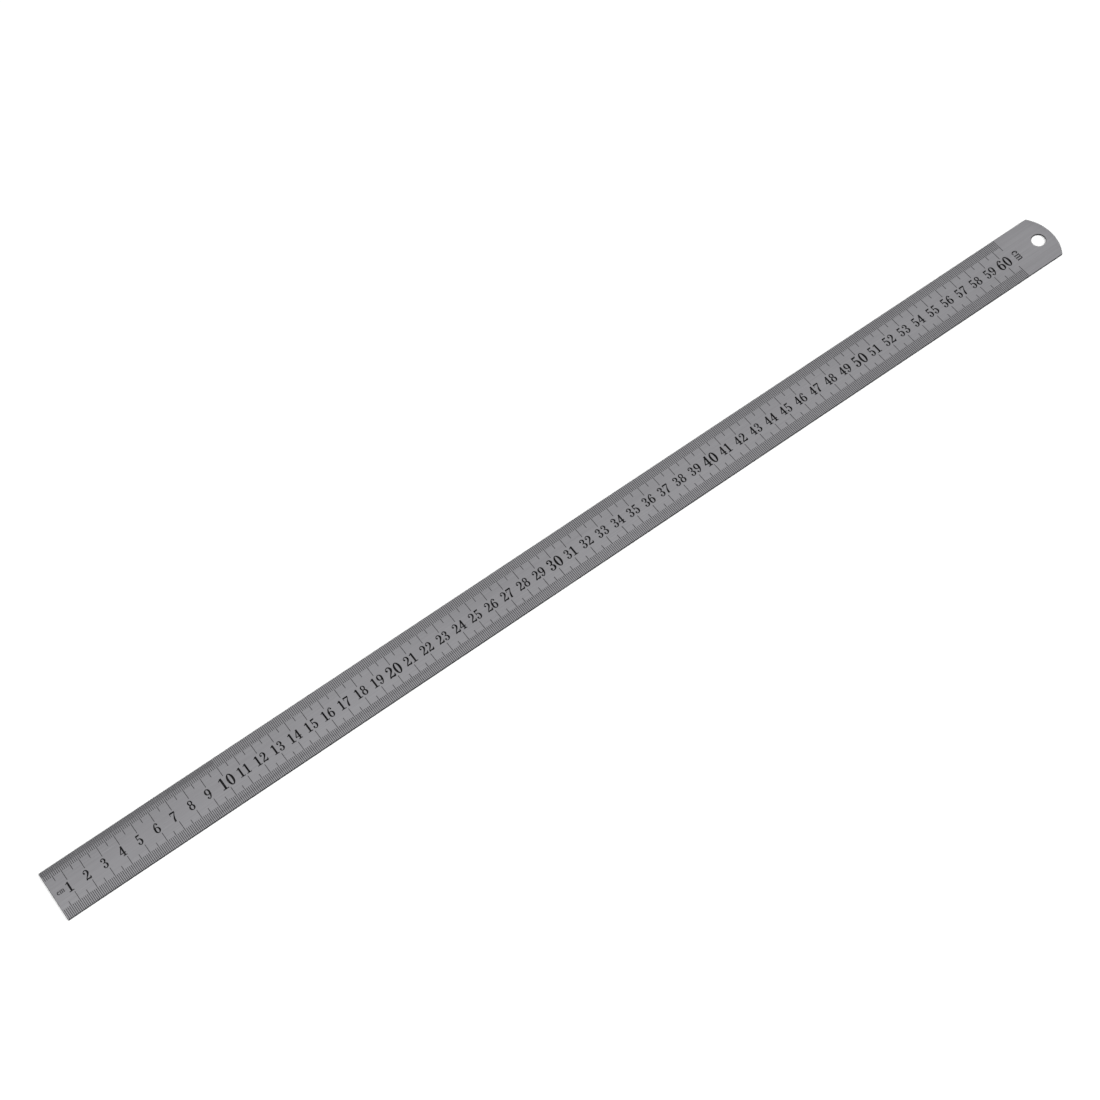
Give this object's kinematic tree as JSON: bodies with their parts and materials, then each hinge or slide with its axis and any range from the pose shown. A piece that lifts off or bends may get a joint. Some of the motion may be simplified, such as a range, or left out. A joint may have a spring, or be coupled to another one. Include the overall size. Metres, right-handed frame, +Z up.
{
  "type": "steel ruler",
  "caption": "Flat stainless steel ruler with a centimetre scale on both edges, a square zero end and a rounded end with a hanging hole.",
  "frame": {"origin": "middle of the square zero end, on the underside that rests on the table", "axes": "+X along the scale from zero to the hanging end, +Y towards the upper (half-millimetre) edge, +Z up out of the printed face"},
  "size_m": [0.6332, 0.03, 0.001],
  "materials": {
    "steel": "satin, fine grain along the length",
    "black_enamel": "baked black enamel, low sheen"
  },
  "bodies": {
    "root": {"blade": "steel", "lower_millimetre_lines": "black_enamel", "lower_half_centimetre_lines": "black_enamel", "lower_centimetre_lines": "black_enamel", "upper_half_millimetre_lines": "black_enamel", "upper_millimetre_lines": "black_enamel", "upper_half_centimetre_lines": "black_enamel", "upper_centimetre_lines": "black_enamel", "numerals_1_to_10": "black_enamel", "numerals_11_to_20": "black_enamel", "numerals_21_to_30": "black_enamel", "numerals_31_to_40": "black_enamel", "numerals_41_to_50": "black_enamel", "numerals_51_to_60": "black_enamel", "unit_at_zero_end": "black_enamel", "unit_at_hanging_end": "black_enamel"}
  },
  "joints": []
}
